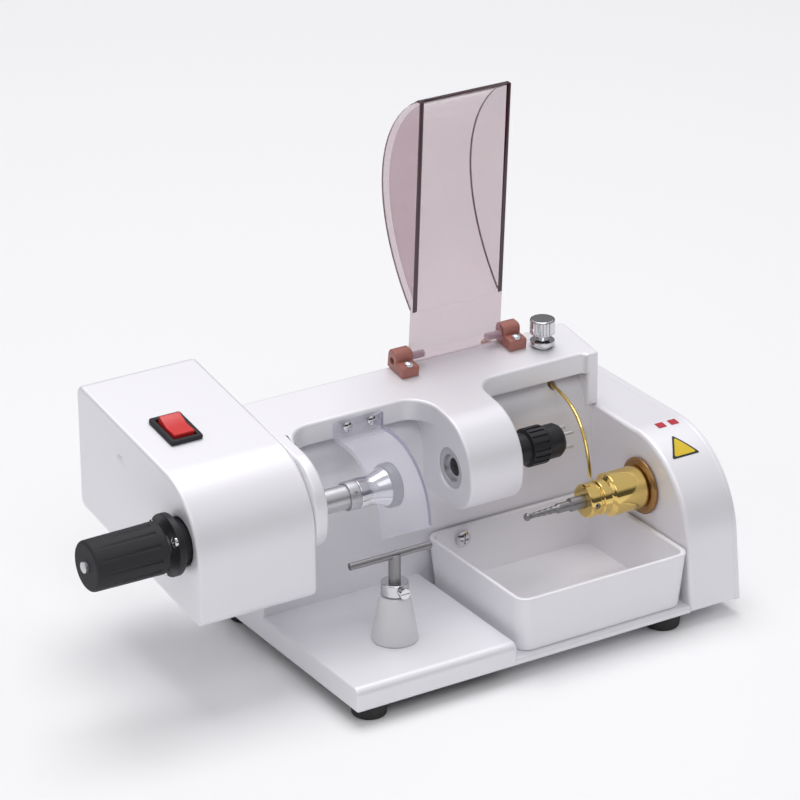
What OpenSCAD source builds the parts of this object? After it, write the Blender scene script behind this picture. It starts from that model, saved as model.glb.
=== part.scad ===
// Bench machine for drilling and polishing small stones: a cast base with a sloping arm,
// a hand-turned work spindle on the left and a brass drill spindle on the right.
// Layout coordinates run from the base's front left corner, with Z up from the bench.

/* [Base] */
// Length of the base along X
base_len = 195; // [185:1:205]
// Depth of the base along Y
base_depth = 122; // [118:1:130]
// Height of the rubber feet
foot_h = 6.5; // [5:0.5:8]
// Radius of a foot
foot_r = 8; // [6:0.5:8.5]
// Length of the raised platform
platform_len = 79; // [77:1:80]
// Height of the platform above the base's bottom
platform_h = 10.8; // [9:0.1:12]
// Height of the ledge under the tray
ledge_h = 3.5; // [3:0.1:5]
// Distance from the front edge to the body wall
body_front = 78; // [78:0.5:80]
// Wall thickness of the castings
wall = 3; // [2.5:0.1:3.5]

/* [Arm] */
// Distance from the front edge to the arm's back edge
arm_back = 105; // [104:1:108]
// Height of the arm's back edge above the bench
arm_back_z = 106; // [104:1:108]
// Downward slope of the arm towards the front
slope = 8.5; // [7:0.5:9]
// Thickness of the arm's plate
arm_t = 10; // [8:0.5:12]
// Left face of the finger
finger_x = 81; // [80:1:82]
// Width of the finger
finger_w = 27; // [24:1:28]
// Thickness of the arm's right end wall
end_wall = 6; // [5:0.5:7]

/* [Work spindle] */
// Distance from the front edge to the work spindle's axis
work_y = 57; // [56:0.5:58]
// Height of the work spindle's axis
work_z = 75.5; // [75:0.5:76]
// Radius of the work spindle
work_r = 5.3; // [5:0.1:5.5]
// Radius of the hand knob
knob_r = 11.3; // [10.5:0.1:11.5]
// Radius of the lap cup
lap_r = 9.7; // [9:0.1:10]

/* [Drill spindle] */
// Distance from the front edge to the drill spindle's axis
drill_y = 39; // [38:0.5:40]
// Height of the drill spindle's axis
drill_z = 52.5; // [52:0.5:53]
// Radius of the brass chuck
brass_r = 9.7; // [9:0.1:10]
// Length of the drill head along X
head_len = 26; // [25:0.5:27]

/* [Motor housing] */
// Length of the motor housing along X
housing_len = 56; // [54:1:58]
// Distance from the front edge to the housing's front face
housing_front = 41; // [40:0.5:42]
// Distance from the front edge to the housing's back face
housing_back = 146; // [144:1:148]
// Height of the housing's end face
housing_h = 57; // [56:0.5:58]

/* [Guards and tray] */
// Height of the hood above its hinge
hood_h = 119.5; // [116:0.5:122]
// Forward lean of the raised hood
hood_lean = 3.8; // [2:0.1:5]
// Depth of the hood behind its open face
hood_d = 30; // [26:1:32]
// Thickness of the hood and the shield
sheet_t = 2.5; // [2:0.1:3]
// Height of the tray's rim above the bench
tray_top = 35.8; // [34:0.1:38]
// Thickness of the tray's walls
tray_t = 2.2; // [1.8:0.1:2.5]

/* [Tool rest] */
// Position of the rest post along X
rest_x = 38; // [36:1:40]
// Position of the rest post along Y
rest_y = 32; // [30:1:33]
// Height of the rest rod's axis
rod_z = 56.5; // [56:0.1:57]
// Length of the rest rod
rod_len = 40; // [36:1:42]

/* [Hidden] */
$fn = 64;

run_gap = 0.05;             // radial clearance of a running shaft
free_gap = 0.3;             // clearance between parts that move past each other
cut = 1;                    // how far a cutting tool runs past a face

head_x = base_len - head_len;
cover_t = 2.5;
knob_tip_x = -95;
mid_x = (knob_tip_x + base_len) / 2;
mid_y = housing_back / 2;

platform_z = foot_h + platform_h;
ledge_z = foot_h + ledge_h;
housing_x0 = 6 - housing_len;
housing_x1 = 6;
arm_x1 = head_x + 2;
lip_w = 6;
finger_x1 = finger_x + finger_w;
head_top = 77;
nose_front = 39.5;
nose_floor = 58.5;
bearing_r = 8;

flange_x = housing_x0 - 7;          // outer face of the bearing flange
flange_r = 13.5;
flange_screw_circle = 11.4;
flange_neck_x = housing_x0 + wall + 2.4;

hub_x = 34;                         // where the flared hub starts
cup_x = 48;                         // where the lap cup starts
work_belt_x = -40;
work_motor_y = 124;
work_motor_z = 84;
work_motor_r = 17;
work_pulley_r = 10;
work_motor_pulley_r = 5;

drill_belt_x = 178;
drill_motor_y = 100;
drill_motor_z = 42;
drill_motor_r = 16;
drill_pulley_r = 6;
drill_motor_pulley_r = 12;

switch_x = -30;
switch_y = 95;
switch_len = 21;
switch_w = 15;
rocker_tilt = 6;
switch_hole_w = 12.8;
switch_hole_len = 18.8;
switch_hole_depth = 8;

valve_x = 151;
valve_y = 91;
hose_z = 88;

hinge_y = 100.5;
hinge_z = 109.9;
hood_x0 = 88.5;
hood_x1 = 134.5;
hood_foot = 21;                     // where the flat foot plate ends and the curved back starts
pin_r = 1.6;
barrel_r = 3.2;

shield_x0 = 36;
shield_x1 = 60;
shield_y = 70;
shield_z = 61.5;
shield_r = 32.5;
shield_tab_z0 = 91.5;
shield_tab_z1 = 100;
shield_screw_z = 97.5;

tray_x0 = 81;
tray_x1 = head_x - 0.5;
tray_y1 = body_front - 0.6;
tray_draft = 2;
tray_screw_x = 99;
tray_screw_z = tray_top - 5.5;
tray_screw_seat = 0.75;             // how far the draft brings the wall in under the screw's head
post_h = 21;
clamp_z = platform_z + post_h + 3.2;

plate_z = foot_h + 1.5;             // top of the bottom cover
small_screw_r = 1.1;                // radius of the flange and shield screws
hinge_screw_r = 1.3;
screw_r = 1.5;                      // radius of the cover, foot and tray screws
lug_h = 6;                          // height of the two rear lugs
rear_cover_x0 = 8;
rear_cover_x1 = 161;
rear_cover_z0 = 14;
rear_cover_z1 = 78;
rear_cover_t = 2;
rear_gap_margin = 6;                // how far the rear opening stays inside the cover that closes it
inlet_x = 34;
inlet_z = 34;
inlet_cut_w = 20;
inlet_cut_h = 16;
inlet_rim_w = 26;
inlet_rim_h = 20;
vent_w = 2.4;
vent_pitch = 6;
shaft_hole_r = 8;                   // clearance for the drill motor's shaft and boss
valve_bore_r = 4.3;
tube_hole_r = 2;
hose_hole_r = 3.2;
post_stud_r = 2;
work_ring_r = 9;                    // outside of the nose bushing
bay_z0 = 40;
bay_z1 = 120;
lip_front = 41;
finger_back = 96;
end_wall_front = 76;
bump_y = 108;
bump_z = 92;
bump_r = 5;
flange_neck_r = bearing_r + 2;
stem_r = 2.6;
clamp_r = 1.2;
lug = 17;                           // corner lugs that take the foot screws
foot_screw_top = foot_h + 3;
foot_places = [[11, 9], [160, 9], [11, 112], [160, 112]];
rear_screw_places = [for (x = [11, 158], z = [17, 75]) [x, z]];
head_screw_places = [[16, 14], [112, 14], [112, 70], [50, 71]];
shield_screw_xs = [42, 54];
hinge_block_xs = [[79.5, 88.2], [134.8, 143.5]];
hinge_block_y = 98.5;
hinge_screw_y = 94.6;

// ---------- geometry helpers ----------

// Height of the arm's sloping top at a distance from the front edge
function arm_top(y) = arm_back_z - (arm_back - y) * tan(slope);
function unit(a) = a / norm(a);
function turned(a, w) = [a.x * cos(w) - a.y * sin(w), a.x * sin(w) + a.y * cos(w)];

// The arc that rounds the corner q between its neighbours p and n
function corner(p, q, n, r) = r == 0 ? [q] :
    let (a = unit(p - q), b = unit(n - q), half = acos(a * b) / 2,
         centre = q + unit(a + b) * r / sin(half),
         from = q + a * r / tan(half) - centre,
         to = q + b * r / tan(half) - centre,
         sweep = 180 - 2 * half,
         steps = max(3, round(sweep * sqrt(r) / 35)))
    [for (k = [0 : steps]) centre + turned(from, sign(cross(from, to)) * sweep * k / steps)];

// An outline from corners [u, v, radius]
function rounded(v) = [for (i = [0 : len(v) - 1])
    let (p = v[(i + len(v) - 1) % len(v)], q = v[i], n = v[(i + 1) % len(v)])
    each corner([p.x, p.y], [q.x, q.y], [n.x, n.y], q[2])];

// The outline of a belt round two wheels, at a distance beyond the wheels
function belt_outline(c1, r1, c2, r2, out) =
    let (d = c2 - c1, base = atan2(d.y, d.x), lean = acos((r1 - r2) / norm(d)), steps = 24)
    concat([for (k = [0 : steps]) let (w = base + lean + (360 - 2 * lean) * k / steps)
                c1 + (r1 + out) * [cos(w), sin(w)]],
           [for (k = [0 : steps]) let (w = base - lean + 2 * lean * k / steps)
                c2 + (r2 + out) * [cos(w), sin(w)]]);

// A point on a cubic curve
function bezier(p, t) = pow(1 - t, 3) * p[0] + 3 * t * pow(1 - t, 2) * p[1]
    + 3 * t * t * (1 - t) * p[2] + pow(t, 3) * p[3];

module placed() { translate([-mid_x, -mid_y, 0]) children(); }
// A shape drawn in Y and Z, drawn out along X
module along_x(x0, x1) { translate([x0, 0, 0]) rotate([90, 0, 90]) linear_extrude(x1 - x0) children(); }
module outline_x(x0, x1, corners) { along_x(x0, x1) polygon(rounded(corners)); }
module rod_x(x0, x1, r, y, z) { translate([x0, y, z]) rotate([0, 90, 0]) cylinder(h = x1 - x0, r = r); }
module rod_y(y0, y1, r, x, z) { translate([x, y0, z]) rotate([-90, 0, 0]) cylinder(h = y1 - y0, r = r); }
module rod_z(z0, z1, r, x, y) { translate([x, y, z0]) cylinder(h = z1 - z0, r = r); }
module box(x0, x1, y0, y1, z0, z1) { translate([x0, y0, z0]) cube([x1 - x0, y1 - y0, z1 - z0]); }
module ring_x(x0, x1, r, bore, y, z) {
    difference() {
        rod_x(x0, x1, r, y, z);
        rod_x(x0 - cut, x1 + cut, bore, y, z);
    }
}
// A round profile [radius, height] turned about X, starting at x
module turned_x(x, y, z, profile) {
    translate([x, y, z]) rotate([0, 90, 0]) rotate_extrude() polygon(profile);
}
// A dome-headed screw at the origin: shank down, head up
module screw(shank_r, shank_l, head_r, head_h) {
    translate([0, 0, -shank_l]) cylinder(h = shank_l, r = shank_r);
    difference() {
        intersection() {
            cylinder(h = head_h, r = head_r);
            translate([0, 0, head_h - head_r * 1.6]) sphere(r = head_r * 1.6);
        }
        for (a = [0, 90]) rotate([0, 0, a])
            translate([-head_r * 0.6, -head_r * 0.12, head_h * 0.5]) cube([head_r * 1.2, head_r * 0.24, head_h]);
    }
}

// ---------- shared outlines, as corners [y, z, radius] ----------

body_corners = [
    [body_front, foot_h, 0], [base_depth, foot_h, 0],
    [base_depth, arm_top(base_depth) - arm_t, 8], [body_front, arm_top(body_front) - arm_t, 20]
];
body_cavity = [
    [body_front + wall, foot_h - cut, 0], [base_depth - wall, foot_h - cut, 0],
    [base_depth - wall, arm_top(base_depth) - arm_t - wall, 5],
    [body_front + wall, arm_top(body_front) - arm_t - wall, 17]
];
head_corners = [
    [0, foot_h, 0], [base_depth, foot_h, 0], [base_depth, head_top, 6], [8, head_top, 44]
];
head_cavity = [
    [wall, foot_h + wall, 0], [base_depth - wall, foot_h + wall, 0],
    [base_depth - wall, head_top - wall, 3], [8 + wall, head_top - wall, 41]
];
function housing_corners(inset) = [
    [housing_front + inset, arm_top(housing_front) + 1.5 - housing_h + inset, 4 - inset],
    [housing_back - inset, arm_top(housing_back) + 1.5 - housing_h + inset, 4 - inset],
    [housing_back - inset, arm_top(housing_back) + 1.5 - inset, 4 - inset],
    [housing_front + inset, arm_top(housing_front) + 1.5 - inset, 34 - inset]
];

// ---------- structure ----------

module base_casting() color("whitesmoke") placed() {
    difference() {
        union() {
            outline_x(0, platform_len, [
                [0, foot_h, 0], [body_front, foot_h, 0],
                [body_front, platform_z, 0], [0, platform_z, 3.5]]);
            box(platform_len, head_x, 0, body_front, foot_h, ledge_z);
            outline_x(0, head_x, body_corners);
        }
        difference() {
            outline_x(wall, head_x - wall, body_cavity);
            for (x = [0, head_x - lug]) box(x, x + lug, base_depth - lug, base_depth, plate_z, plate_z + lug_h);
        }
        difference() {
            box(wall, platform_len - wall, wall, body_front + wall + cut, foot_h - cut, platform_z - wall);
            box(0, lug, 0, lug, plate_z, platform_z);
        }
        // the motor housing stands in the body's upper left corner
        outline_x(-cut, housing_x1, housing_corners(0));
        rod_x(head_x - wall - cut, head_x + cut, shaft_hole_r, drill_motor_y, drill_motor_z);
        rod_y(body_front - cut, body_front + 16, tube_hole_r, valve_x, hose_z);
        rod_z(hose_z, arm_back_z, valve_bore_r, valve_x, valve_y);
        rod_y(body_front - cut, body_front + wall + cut, screw_r, tray_screw_x, tray_screw_z);
        box(rear_cover_x0 + rear_gap_margin, rear_cover_x1 - rear_gap_margin,
            base_depth - wall - cut, base_depth + cut, rear_cover_z0 + rear_gap_margin, rear_cover_z1);
        rod_y(base_depth - wall - cut, base_depth + cut, hose_hole_r, valve_x, hose_z);
        rod_z(platform_z - wall - cut, platform_z + cut, post_stud_r, rest_x, rest_y);
        for (p = foot_places) rod_z(foot_h - cut, foot_screw_top, screw_r, p.x, p.y);
        for (p = rear_screw_places) rod_y(base_depth - 2.2, base_depth + cut, screw_r, p.x, p.y);
    }
}

// Plan of a working bay cut into the arm, with rounded back corners
module bay(x0, x1, r_left, r_right) {
    translate([0, 0, bay_z0]) linear_extrude(bay_z1 - bay_z0) polygon(rounded([
        [x0, 0, 0], [x1, 0, 0], [x1, body_front, r_right], [x0, body_front, r_left]]));
}

module arm_casting() color("whitesmoke") placed() {
    difference() {
        union() {
            difference() {
                outline_x(housing_x1, arm_x1, [
                    [62, arm_top(62) - arm_t, 0], [arm_back, arm_top(arm_back) - arm_t, 0],
                    [arm_back, arm_top(arm_back), 2], [62, arm_top(62), 0]]);
                bay(housing_x1 + lip_w, finger_x, 12, 12);
                bay(finger_x1, arm_x1 - end_wall, 9, 3);
                box(arm_x1 - end_wall - cut, arm_x1 + cut, 0, end_wall_front, bay_z0, bay_z1);
            }
            outline_x(finger_x, finger_x1, [
                [nose_front, nose_floor, 14], [finger_back, nose_floor, 0],
                [finger_back, arm_top(finger_back), 0], [nose_front, arm_top(nose_front), 24]]);
            outline_x(housing_x1, housing_x1 + lip_w, [
                [lip_front, nose_floor, 15], [finger_back, nose_floor, 0],
                [finger_back, arm_top(finger_back), 0], [lip_front, arm_top(lip_front), 22]]);
            outline_x(arm_x1 - end_wall, arm_x1, [
                [end_wall_front, head_top, 0], [arm_back, head_top, 0],
                [arm_back, arm_top(arm_back), 2], [end_wall_front, arm_top(end_wall_front), 3]]);
        }
        outline_x(-cut, head_x, body_corners);
        rod_x(housing_x1 - cut, housing_x1 + lip_w + cut, bearing_r, work_y, work_z);
        rod_x(finger_x - cut, finger_x1 + cut, work_ring_r, work_y, work_z);
        rod_z(hose_z, arm_back_z + cut, valve_bore_r, valve_x, valve_y);
        rod_x(arm_x1 - end_wall - cut, arm_x1 - 2, 4, 88, 89);
        for (x = shield_screw_xs) rod_y(body_front - cut, body_front + 3, small_screw_r, x, shield_screw_z);
        for (x = hinge_block_xs) on_arm((x[0] + x[1]) / 2, hinge_screw_y) translate([0, 0, -6])
            cylinder(h = 6 + cut, r = hinge_screw_r);
    }
}

module drill_head_shell() color("whitesmoke") placed() {
    difference() {
        outline_x(head_x, base_len - cover_t, head_corners);
        outline_x(head_x + wall, base_len + cut, head_cavity);
        rod_x(head_x - cut, head_x + wall + cut, bearing_r, drill_y, drill_z);
        rod_x(head_x - cut, head_x + wall + cut, shaft_hole_r, drill_motor_y, drill_motor_z);
    }
}

module drill_head_cover() color("whitesmoke") placed() {
    difference() {
        union() {
            outline_x(base_len - cover_t, base_len, head_corners);
            ring_x(base_len - cover_t - 4, base_len - cover_t, bearing_r + 2, bearing_r, drill_y, drill_z);
        }
        for (p = head_screw_places) rod_x(base_len - cover_t - cut, base_len + cut, screw_r, p.x, p.y);
    }
}

module motor_housing() color("whitesmoke") placed() {
    difference() {
        union() {
            outline_x(housing_x0, housing_x1, housing_corners(0));
            translate([housing_x0 + 4, bump_y, bump_z]) sphere(r = bump_r);
        }
        outline_x(housing_x0 + wall, housing_x1 + cut, housing_corners(2.5));
        rod_x(housing_x0 - cut, housing_x0 + wall + cut, flange_neck_r + run_gap, work_y, work_z);
        on_switch() translate([-switch_hole_w / 2, -switch_hole_len / 2, -switch_hole_depth])
            cube([switch_hole_w, switch_hole_len, switch_hole_depth + 6]);
    }
}

module housing_end_plate() color("dimgray") placed() {
    difference() {
        outline_x(housing_x1 - 3, housing_x1, housing_corners(2.5));
        rod_x(housing_x1 - 3 - cut, housing_x1 + cut, bearing_r, work_y, work_z);
    }
}

module bottom_cover() color("dimgray") placed() {
    difference() {
        union() {
            box(wall + 0.2, platform_len - wall - 0.2, wall + 0.2, base_depth - wall - 0.2, foot_h, plate_z);
            box(platform_len - wall - 0.2, head_x - wall - 0.2, body_front + wall + 0.2,
                base_depth - wall - 0.2, foot_h, plate_z);
        }
        for (p = foot_places) rod_z(foot_h - cut, plate_z + cut, screw_r, p.x, p.y);
    }
}

module rear_cover() color("whitesmoke") placed() {
    difference() {
        box(rear_cover_x0, rear_cover_x1, base_depth, base_depth + rear_cover_t, rear_cover_z0, rear_cover_z1);
        for (p = rear_screw_places) rod_y(base_depth - cut, base_depth + rear_cover_t + cut, screw_r, p.x, p.y);
        box(inlet_x - inlet_cut_w / 2, inlet_x + inlet_cut_w / 2, base_depth - cut, base_depth + rear_cover_t + cut,
            inlet_z - inlet_cut_h / 2, inlet_z + inlet_cut_h / 2);
        for (x = [70 : vent_pitch : 130])
            box(x, x + vent_w, base_depth - cut, base_depth + rear_cover_t + cut, 36, 62);
    }
}

module cover_screws() color("silver") placed() {
    for (p = rear_screw_places) translate([p.x, base_depth + rear_cover_t, p.y]) rotate([-90, 0, 0])
        screw(screw_r, 4, 2.8, 1.6);
    for (p = head_screw_places) rod_x(base_len - cover_t, base_len - 0.2, screw_r, p.x, p.y);
}

module feet() color("black") placed() {
    for (p = foot_places) difference() {
        translate([p.x, p.y, 0]) rotate_extrude() polygon(rounded([
            [0, 0, 0], [foot_r - 0.6, 0, 1.2], [foot_r, foot_h, 0], [0, foot_h, 0]]));
        rod_z(-cut, foot_h + cut, screw_r, p.x, p.y);
        rod_z(-cut, 2.4, 3.6, p.x, p.y);
    }
}

module foot_screws() color("silver") placed() {
    for (p = foot_places) {
        rod_z(2.4, foot_screw_top, screw_r, p.x, p.y);
        rod_z(0.8, 2.4, 3.2, p.x, p.y);
    }
}

// ---------- work spindle ----------

module work_spindle() color("silver") placed() {
    rod_x(flange_x - 6, hub_x, work_r, work_y, work_z);
    rod_x(knob_tip_x, flange_x - 6, 2.5, work_y, work_z);
    rod_x(hub_x, cup_x, 3, work_y, work_z);
}

module hand_knob() color([0.08, 0.08, 0.09]) placed() {
    difference() {
        turned_x(knob_tip_x + 1.5, work_y, work_z, rounded([
            [2.5, 0, 0], [knob_r - 0.4, 0, 1.5], [knob_r, 33.5, 1], [2.5, 33.5, 0]]));
        for (a = [0 : 30 : 330])
            rotate_about_work(a) rod_x(knob_tip_x + 5, flange_x - 7, 1.2, work_y + knob_r + 0.7, work_z);
        rod_x(flange_x - 6, flange_x, work_r, work_y, work_z);
    }
}

module rotate_about_work(a) {
    translate([0, work_y, work_z]) rotate([a, 0, 0]) translate([0, -work_y, -work_z]) children();
}

module bearing_flange() color([0.08, 0.08, 0.09]) placed() {
    difference() {
        union() {
            rod_x(flange_x, flange_x + 3, flange_r, work_y, work_z);
            rod_x(flange_x + 3, flange_neck_x, flange_neck_r, work_y, work_z);
        }
        rod_x(flange_x + 3, flange_neck_x + cut, bearing_r, work_y, work_z);
        rod_x(flange_x - cut, flange_x + 3 + cut, work_r + 0.4, work_y, work_z);
        for (a = [30, 150, 270]) rotate_about_work(a)
            rod_x(flange_x - cut, flange_x + 3 + cut, small_screw_r, work_y + flange_screw_circle, work_z);
    }
}

module flange_screws() color("silver") placed() {
    for (a = [30, 150, 270]) rotate_about_work(a)
        translate([flange_x, work_y + flange_screw_circle, work_z]) rotate([0, -90, 0])
            screw(small_screw_r, 3, 2.2, 1.7);
}

module work_bearings() color("gainsboro") placed() {
    ring_x(housing_x0 - 2, housing_x0 + wall + 2, bearing_r, work_r + run_gap, work_y, work_z);
    ring_x(housing_x1 - 2, housing_x1 + lip_w - 0.5, bearing_r, work_r + run_gap, work_y, work_z);
}

module shaft_collar() color("silver") placed() {
    difference() {
        rod_x(hub_x - 5, hub_x, 6.4, work_y, work_z);
        rod_x(hub_x - 5 - cut, hub_x + cut, work_r, work_y, work_z);
        translate([hub_x - 2.5, work_y, work_z]) rotate([60, 0, 0]) translate([0, 0, 5]) cylinder(h = 3, r = 0.9);
    }
}

module flared_hub() color("gainsboro") placed() {
    turned_x(hub_x, work_y, work_z, concat(
        [[3, 0], [6.6, 0], [6.6, 4]],
        [for (t = [0 : 0.125 : 1]) bezier([[6.2, 4], [6.2, 8], [7.2, 10], [8.6, cup_x - hub_x]], t)],
        [[3, cup_x - hub_x]]));
}

module lap_cup() color([0.15, 0.15, 0.17]) placed() {
    turned_x(cup_x, work_y, work_z, [[0, 0], [lap_r - 0.6, 0], [lap_r, 1], [lap_r, 4.5],
        [lap_r - 1.6, 5.5], [lap_r - 2.6, 5.5], [lap_r - 4, 3], [0, 2.2]]);
}

module groove_pulley(x, y, z, r, bore) {
    turned_x(x - 4, y, z, [[bore, 0], [r + 1.6, 0], [r + 1.6, 1.4], [r, 2.2], [r, 5.8],
        [r + 1.6, 6.6], [r + 1.6, 8], [bore, 8]]);
}

module work_pulley() color("silver") placed() {
    groove_pulley(work_belt_x, work_y, work_z, work_pulley_r, work_r);
}

module belt(x, c1, r1, c2, r2) {
    along_x(x - 1.5, x + 1.5) difference() {
        polygon(belt_outline(c1, r1, c2, r2, free_gap + 1.2));
        polygon(belt_outline(c1, r1, c2, r2, free_gap));
    }
}

module work_belt() color([0.1, 0.1, 0.1]) placed() {
    belt(work_belt_x, [work_y, work_z], work_pulley_r, [work_motor_y, work_motor_z], work_motor_pulley_r);
}

module work_motor_pulley() color("silver") placed() {
    groove_pulley(work_belt_x, work_motor_y, work_motor_z, work_motor_pulley_r, 2);
    rod_x(work_belt_x - 4, -20, 2, work_motor_y, work_motor_z);
}

module work_motor() color("gray") placed() {
    difference() {
        union() {
            rod_x(-34, housing_x1 - 3, work_motor_r, work_motor_y, work_motor_z);
            rod_x(-35.5, -34, 6, work_motor_y, work_motor_z);
        }
        rod_x(-36, -19, 2 + run_gap, work_motor_y, work_motor_z);
        for (a = [0 : 45 : 315]) translate([0, work_motor_y, work_motor_z]) rotate([a, 0, 0])
            box(-28, -8, -1.5, 1.5, work_motor_r - 1.5, work_motor_r + cut);
    }
}

// ---------- chuck in the finger's nose ----------

module nose_bushing() color("silver") placed() {
    ring_x(finger_x + 1, finger_x1 - 0.5, work_ring_r, 6 + run_gap, work_y, work_z);
}

module chuck_spindle() color("darkgray") placed() {
    difference() {
        rod_x(finger_x + 3, 121, 6, work_y, work_z);
        rod_x(finger_x + 2, finger_x + 18, 4, work_y, work_z);
    }
}

module chuck_body() color([0.06, 0.06, 0.06]) placed() {
    difference() {
        turned_x(finger_x1 + 2, work_y, work_z, [[6, 0], [7, 0], [7, 9], [8.6, 9.6], [8.6, 18],
            [7.6, 19], [7.6, 25], [6.4, 27], [0, 27], [0, 11], [6, 11]]);
        for (a = [0 : 20 : 340]) rotate_about_work(a)
            box(finger_x1 + 12, finger_x1 + 19.5, work_y - 0.5, work_y + 0.5, work_z + 8, work_z + 10);
        for (a = [45 : 90 : 315]) rotate_about_work(a)
            rod_x(finger_x1 + 23, finger_x1 + 30, 0.8, work_y + 4.6, work_z);
    }
}

module chuck_prongs() color("silver") placed() {
    for (a = [45 : 90 : 315]) rotate_about_work(a) {
        rod_x(finger_x1 + 23, finger_x1 + 34, 0.8, work_y + 4.6, work_z);
        translate([finger_x1 + 34, work_y + 4.6, work_z]) sphere(r = 0.8);
    }
}

// ---------- drill spindle ----------

module seal_disc() color("peru") placed() {
    turned_x(head_x - 2.5, drill_y, drill_z, [[3, 0], [11.6, 0], [12.8, 1], [12.8, 2.1], [3, 2.1]]);
}

module brass_chuck() color("gold") placed() {
    difference() {
        turned_x(head_x - 31, drill_y, drill_z, [[3, 0], [7, 0], [7.6, 0.8], [7.6, 5], [6.9, 5.6], [6.9, 6.4],
            [7.8, 7], [7.8, 10.5], [brass_r - 1.2, 11], [brass_r, 12.2], [brass_r, 28], [8, 28.4], [3, 28.4]]);
        rod_y(drill_y - 9, drill_y - 3, 1.4, head_x - 28.2, drill_z);
    }
}

module chuck_set_screw() color("dimgray") placed() {
    difference() {
        rod_y(drill_y - 7, drill_y - 3.2, 1.4, head_x - 28.2, drill_z);
        rod_y(drill_y - 8, drill_y - 6, 0.6, head_x - 28.2, drill_z);
    }
}

module drill_burr() color([0.35, 0.35, 0.37]) placed() {
    turned_x(head_x - 61.5, drill_y, drill_z, concat(
        [[0, 0]],
        [for (a = [20 : 20 : 140]) [1.8 * sin(a), 1.8 - 1.8 * cos(a)]],
        [[1, 4], [1.5, 14], [1.5, 17], [2.2, 18.5], [2.2, 23], [3, 24], [3, 40], [0, 40]]));
}

module drill_spindle() color("silver") placed() {
    rod_x(head_x - 21.5, base_len - cover_t - 0.5, 3, drill_y, drill_z);
}

module drill_bearings() color("gainsboro") placed() {
    ring_x(head_x, head_x + wall + 1, bearing_r, 3 + run_gap, drill_y, drill_z);
    ring_x(base_len - cover_t - 4, base_len - cover_t, bearing_r, 3 + run_gap, drill_y, drill_z);
}

module drill_pulley() color("silver") placed() {
    groove_pulley(drill_belt_x, drill_y, drill_z, drill_pulley_r, 3);
}

module drill_belt() color([0.1, 0.1, 0.1]) placed() {
    belt(drill_belt_x, [drill_y, drill_z], drill_pulley_r, [drill_motor_y, drill_motor_z], drill_motor_pulley_r);
}

module drill_motor_pulley() color("silver") placed() {
    groove_pulley(drill_belt_x, drill_motor_y, drill_motor_z, drill_motor_pulley_r, 2.5);
    rod_x(head_x - 24, drill_belt_x + 4, 2.5, drill_motor_y, drill_motor_z);
}

module drill_motor() color("gray") placed() {
    difference() {
        union() {
            rod_x(head_x - wall - 52, head_x - wall, drill_motor_r, drill_motor_y, drill_motor_z);
            rod_x(head_x - wall - 55, head_x - wall - 52, 7, drill_motor_y, drill_motor_z);
        }
        rod_x(head_x - 25, head_x, 2.5 + run_gap, drill_motor_y, drill_motor_z);
        for (a = [0 : 45 : 315]) translate([0, drill_motor_y, drill_motor_z]) rotate([a, 0, 0])
            box(head_x - 45, head_x - 18, -1.5, 1.5, drill_motor_r - 1.5, drill_motor_r + cut);
    }
}

// ---------- switch and electrics ----------

// Puts a shape drawn at the origin on the sloping top of the motor housing
module on_switch() {
    translate([switch_x, switch_y, arm_top(switch_y) + 1.5]) rotate([slope, 0, 0]) children();
}

module switch_body() color([0.05, 0.05, 0.05]) placed() on_switch() {
    difference() {
        union() {
            translate([0, 0, 0.05]) linear_extrude(2) polygon(rounded([
                [-switch_w / 2, -switch_len / 2, 1], [switch_w / 2, -switch_len / 2, 1],
                [switch_w / 2, switch_len / 2, 1], [-switch_w / 2, switch_len / 2, 1]]));
            translate([-6.3, -9.3, -13]) cube([12.6, 18.6, 13.1]);
        }
        translate([-5.3, -8.3, -8]) cube([10.6, 16.6, 12]);
        translate([-5.9, 0, -2]) rotate([0, 90, 0]) cylinder(h = 11.8, r = 1.05);
    }
    for (y = [-5, 0, 5]) translate([-0.4, y - 2, -19]) cube([0.8, 4, 6.1]);
}

module switch_rocker() color("red") placed() on_switch() {
    translate([-4.9, 0, -2]) rotate([rocker_tilt, 0, 0]) rotate([90, 0, 90]) linear_extrude(9.8) polygon(rounded([
        [-7, 2.5, 1], [-4.5, -2.5, 1], [4.5, -2.5, 1], [7, 2.5, 1], [7, 6.2, 0.5], [0, 5, 0], [-7, 6.2, 0.5]]));
    translate([-5.8, 0, -2]) rotate([0, 90, 0]) cylinder(h = 11.6, r = 1);
}

module power_inlet() color([0.08, 0.08, 0.08]) placed() {
    difference() {
        union() {
            box(inlet_x - inlet_cut_w / 2 + 0.2, inlet_x + inlet_cut_w / 2 - 0.2, base_depth - 14,
                base_depth + rear_cover_t, inlet_z - inlet_cut_h / 2 + 0.2, inlet_z + inlet_cut_h / 2 - 0.2);
            box(inlet_x - inlet_rim_w / 2, inlet_x + inlet_rim_w / 2, base_depth + rear_cover_t,
                base_depth + rear_cover_t + 2, inlet_z - inlet_rim_h / 2, inlet_z + inlet_rim_h / 2);
        }
        translate([inlet_x, base_depth + rear_cover_t + 2 + cut, inlet_z]) rotate([90, 0, 0]) linear_extrude(14)
            polygon(rounded([[-7, -4.5, 3], [7, -4.5, 3], [7, 4.5, 3], [-7, 4.5, 3]]));
    }
    for (x = [inlet_x - 4, inlet_x + 4]) rod_y(base_depth - 9, base_depth + 2, 1.2, x, inlet_z);
}

module motor_capacitor() color("steelblue") placed() {
    box(60, 92, 92, 106, plate_z, foot_h + 24);
    for (x = [70, 82]) box(x, x + 0.8, 96, 102, foot_h + 24, foot_h + 30);
}

module terminal_block() color("ivory") placed() {
    difference() {
        box(14, 44, 84, 94, plate_z, foot_h + 12);
        for (x = [18 : 6 : 40]) rod_z(foot_h + 8, foot_h + 13, 1.6, x, 89);
    }
}

// ---------- coolant ----------

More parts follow.
